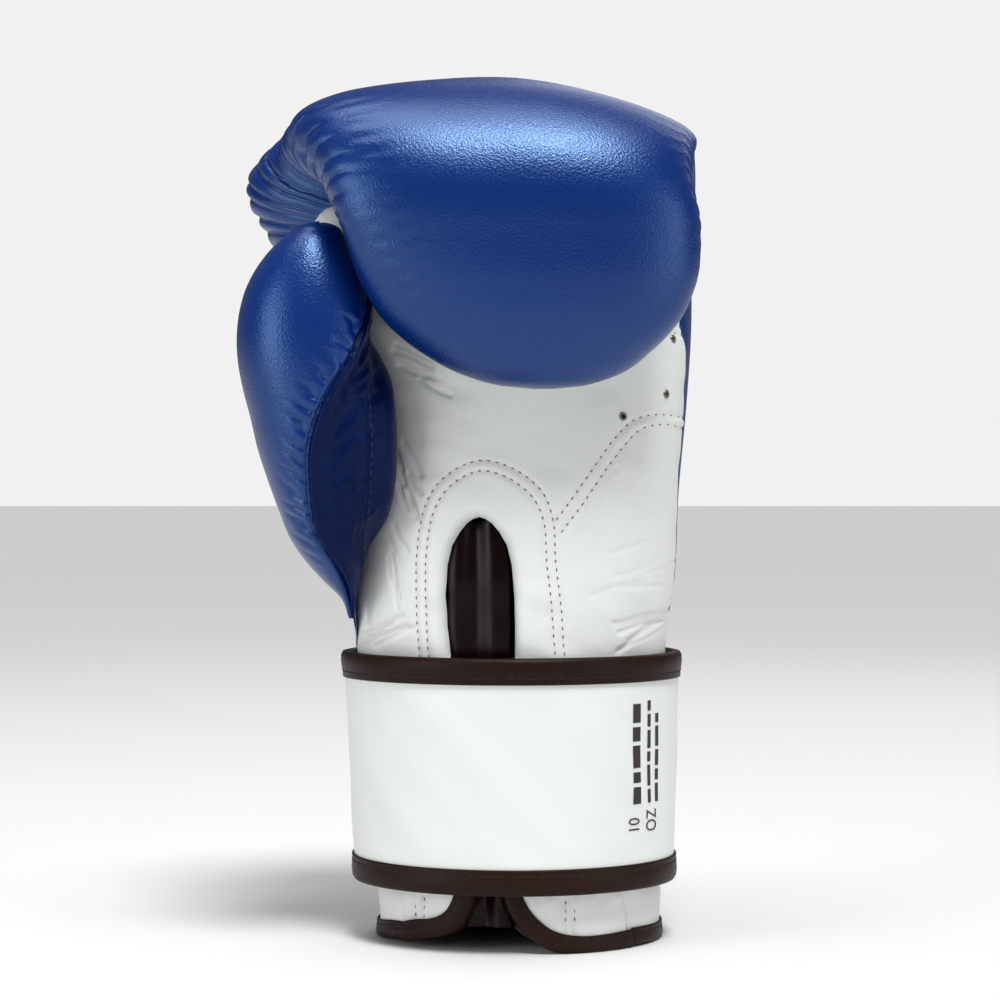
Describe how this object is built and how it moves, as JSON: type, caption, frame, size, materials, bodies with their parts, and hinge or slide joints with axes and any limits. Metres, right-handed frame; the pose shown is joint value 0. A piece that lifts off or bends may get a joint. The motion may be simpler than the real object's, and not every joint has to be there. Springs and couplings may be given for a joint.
{
  "type": "padded boxing glove",
  "caption": "Left-hand padded boxing glove with a curled fist, an attached thumb, a split padded cuff and a hook-and-loop wrist strap, standing on its cuff.",
  "frame": {"origin": "middle of the wrist opening, in the plane of the cuff's hem", "axes": "+Z from the wrist up the hand to the knuckles, -Y out of the palm side, -X to the thumb side"},
  "size_m": [0.1522, 0.1351, 0.2871],
  "materials": {
    "blue_leather": "gloss",
    "white_leather": "satin",
    "brown_leather": "gloss",
    "brown_tape": "satin",
    "foam": "matte",
    "lining_fabric": "matte",
    "hook_tape": "matte",
    "loop_tape": "matte",
    "eyelet_metal": "satin"
  },
  "bodies": {
    "hand": {"back_leather": "blue_leather", "fist_leather": "blue_leather", "back_outer_foam": "foam", "back_inner_foam": "foam", "fist_foam": "foam", "palm_leather": "white_leather", "outer_palm_leather": "white_leather", "palm_foam": "foam", "finger_leather": "white_leather", "finger_foam": "foam", "hand_lining": "lining_fabric", "finger_lining": "lining_fabric", "wrist_tongue": "brown_leather", "cuff_leather": "white_leather", "cuff_foam": "foam", "cuff_lining": "lining_fabric", "cuff_binding": "brown_tape", "grip_cover": "white_leather", "grip_core": "foam", "vent_eyelets": "eyelet_metal", "strap_anchor_leather": "white_leather", "strap_anchor_backing": "lining_fabric", "strap_anchor_binding": "brown_tape", "loop_patch": "loop_tape"},
    "flap_left": {"left_flap_leather": "white_leather", "left_flap_foam": "foam", "left_flap_lining": "lining_fabric", "left_flap_binding": "brown_tape"},
    "flap_right": {"right_flap_leather": "white_leather", "right_flap_foam": "foam", "right_flap_lining": "lining_fabric", "right_flap_binding": "brown_tape"},
    "strap_front": {"strap_front_leather": "white_leather", "strap_front_backing": "lining_fabric", "strap_front_binding": "brown_tape"},
    "strap_back": {"strap_back_leather": "white_leather", "strap_back_backing": "lining_fabric", "strap_back_binding": "brown_tape", "hook_patch": "hook_tape"},
    "thumb": {"thumb_outer_leather": "blue_leather", "thumb_inner_leather": "blue_leather", "thumb_foam": "foam", "thumb_lining": "lining_fabric"}
  },
  "joints": [
    {"name": "strap_front_fold", "type": "hinge", "parent": "hand", "child": "strap_front", "pos_m": [-0.0558, 0, 0.0205], "axis": [0.0513, 0, -0.9987], "range_deg": [0, 80]},
    {"name": "strap_back_fold", "type": "hinge", "parent": "strap_front", "child": "strap_back", "pos_m": [0.0524, 0, 0.0205], "axis": [-0.0243, 0, -0.9997], "range_deg": [0, 160]},
    {"name": "left_flap_fold", "type": "hinge", "parent": "hand", "child": "flap_left", "pos_m": [-0.0405, -0.024, 0], "axis": [-0.0848, 0.1468, -0.9855], "range_deg": [0, 16]},
    {"name": "right_flap_fold", "type": "hinge", "parent": "hand", "child": "flap_right", "pos_m": [0.0384, -0.0263, 0], "axis": [-0.2759, -0.1758, 0.945], "range_deg": [0, 16]},
    {"name": "thumb_swing", "type": "hinge", "parent": "hand", "child": "thumb", "pos_m": [-0.056, -0.025, 0.108], "axis": [0, -1, 0], "range_deg": [0, 12], "stiffness_Nm_per_rad": 1}
  ],
  "couplings": [
    {"joint": "strap_back_fold", "follows": "strap_front_fold", "ratio": 2},
    {"joint": "left_flap_fold", "follows": "strap_front_fold", "ratio": 0.2},
    {"joint": "right_flap_fold", "follows": "strap_front_fold", "ratio": 0.2}
  ]
}
